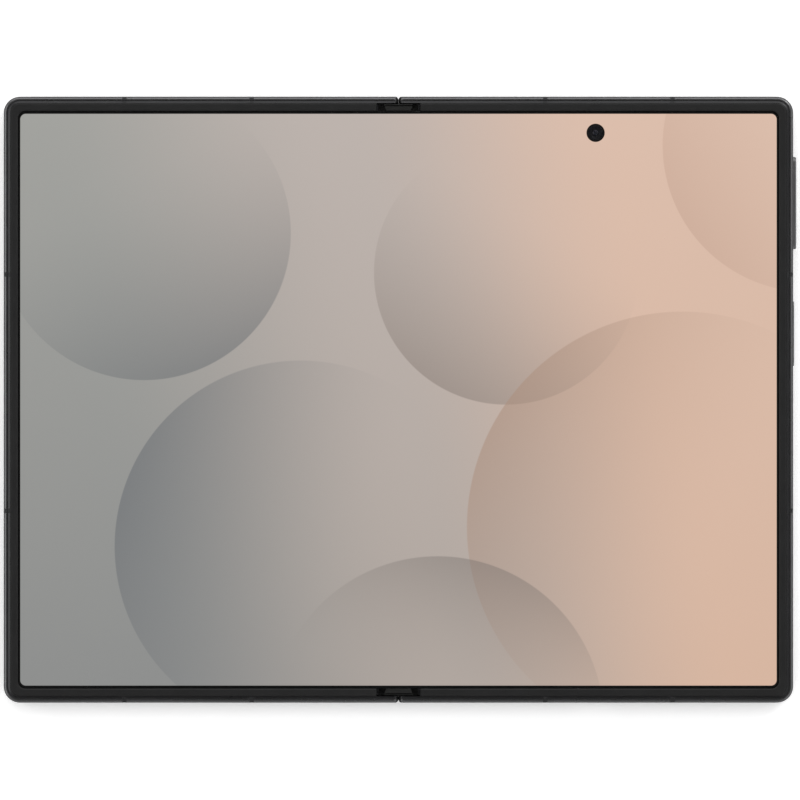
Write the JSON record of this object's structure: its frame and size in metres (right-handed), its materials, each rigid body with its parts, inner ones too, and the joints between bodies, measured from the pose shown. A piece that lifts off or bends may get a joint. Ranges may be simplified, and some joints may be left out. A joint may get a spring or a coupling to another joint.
{
  "type": "foldable smartphone",
  "caption": "Book-style folding smartphone lying open on its back, with a folding inner screen, geared double hinge, rear cameras, side keys and a card tray.",
  "frame": {"origin": "middle of the fold line, on the surface that the open phone lies on", "axes": "+X across the fold, from the left half to the right half with the keys; +Y along the fold line, towards the top edge; +Z out of the inner screen"},
  "size_m": [0.1621, 0.1238, 0.0064],
  "materials": {
    "rim_metal": "satin, anodised dark grey",
    "band_plastic": "matt",
    "bezel_plastic": "fine matt",
    "screen_left_glass": "gloss, lit, plain grey",
    "screen_fold_glass": "gloss, lit, warm grey",
    "screen_right_glass": "gloss, lit, peach",
    "back_glass": "satin",
    "black_glass": "gloss",
    "camera_metal": "satin",
    "ring_metal": "bright turned",
    "lens_glass": "clear, coated",
    "flash_plastic": "clear, ribbed",
    "camera_body": "matt",
    "board_laminate": "satin solder mask",
    "shield_metal": "satin",
    "battery_foil": "satin foil",
    "coil_copper": "enamelled copper",
    "hinge_steel": "machined",
    "gear_steel": "sintered",
    "spine_metal": "satin, anodised",
    "cap_plastic": "matt",
    "flex_film": "amber film",
    "key_metal": "satin, anodised",
    "speaker_plastic": "matt",
    "magnet_metal": "nickel plated"
  },
  "bodies": {
    "right_half": {"right_frame": "rim_metal", "right_antenna_bands": "band_plastic", "right_bezel": "bezel_plastic", "inner_screen_right": "screen_right_glass", "rear_glass": "back_glass", "camera_plateau": "camera_metal", "lens_rings": "ring_metal", "lens_glasses": "lens_glass", "flash_lens": "flash_plastic", "main_camera_module": "camera_body", "wide_camera_module": "camera_body", "inner_camera": "camera_body", "main_board": "board_laminate", "board_shields": "shield_metal", "main_battery": "battery_foil", "charging_coil": "coil_copper", "haptic_motor": "shield_metal", "usb_connector": "shield_metal", "usb_board": "board_laminate", "bottom_speaker": "speaker_plastic", "key_switches": "flex_film", "right_magnets": "magnet_metal", "hinge_arm_right": "hinge_steel", "hinge_shaft_right": "hinge_steel", "sync_gear_right": "gear_steel", "arm_screws_right": "hinge_steel", "hinge_flex_right": "flex_film"},
    "spine": {"spine_cover": "spine_metal", "hinge_base": "hinge_steel", "hinge_caps": "cap_plastic", "inner_screen_fold": "screen_fold_glass", "torque_springs": "hinge_steel", "detent_cams": "gear_steel", "hinge_flex_spine": "flex_film"},
    "left_half": {"left_frame": "rim_metal", "left_antenna_bands": "band_plastic", "left_bezel": "bezel_plastic", "inner_screen_left": "screen_left_glass", "cover_glass": "black_glass", "cover_display": "black_glass", "cover_camera": "camera_body", "earpiece_speaker": "speaker_plastic", "sub_board": "board_laminate", "second_battery": "battery_foil", "card_reader": "shield_metal", "left_magnets": "magnet_metal", "hinge_arm_left": "hinge_steel", "hinge_shaft_left": "hinge_steel", "sync_gear_left": "gear_steel", "arm_screws_left": "hinge_steel", "hinge_flex_left": "flex_film"},
    "right_idler": {"idler_gear_right": "gear_steel"},
    "left_idler": {"idler_gear_left": "gear_steel"},
    "volume_rocker": {"volume_key": "key_metal"},
    "power_button": {"power_key": "key_metal"},
    "tray": {"card_tray": "key_metal"}
  },
  "joints": [
    {"name": "fold_right", "type": "hinge", "parent": "right_half", "child": "spine", "pos_m": [0.0015, 0, 0.00495], "axis": [0, 1, 0], "range_deg": [0, 90]},
    {"name": "fold_left", "type": "hinge", "parent": "spine", "child": "left_half", "pos_m": [-0.0015, 0, 0.00495], "axis": [0, 1, 0], "range_deg": [0, 90]},
    {"name": "idler_right_spin", "type": "hinge", "parent": "spine", "child": "right_idler", "pos_m": [0.00065, 0, 0.00349], "axis": [0, 1, 0], "range_deg": [0, 144]},
    {"name": "idler_left_spin", "type": "hinge", "parent": "spine", "child": "left_idler", "pos_m": [-0.00065, 0, 0.00349], "axis": [0, 1, 0], "range_deg": [-144, 0]},
    {"name": "volume_rock", "type": "hinge", "parent": "right_half", "child": "volume_rocker", "pos_m": [0.07889, 0.04025, 0.00385], "axis": [0, 0, 1], "range_deg": [-1.5, 1.5], "stiffness_Nm_per_rad": 0.3},
    {"name": "power_press", "type": "slide", "parent": "right_half", "child": "power_button", "axis": [-1, 0, 0], "range_m": [0, 0.0002], "stiffness_N_per_m": 2000, "springref_m": -0.0001},
    {"name": "tray_slide", "type": "slide", "parent": "left_half", "child": "tray", "axis": [0, -1, 0], "range_m": [0, 0.015]}
  ],
  "couplings": [
    {"joint": "fold_left", "follows": "fold_right", "ratio": 1},
    {"joint": "idler_right_spin", "follows": "fold_right", "ratio": 1.6},
    {"joint": "idler_left_spin", "follows": "fold_right", "ratio": -1.6}
  ]
}
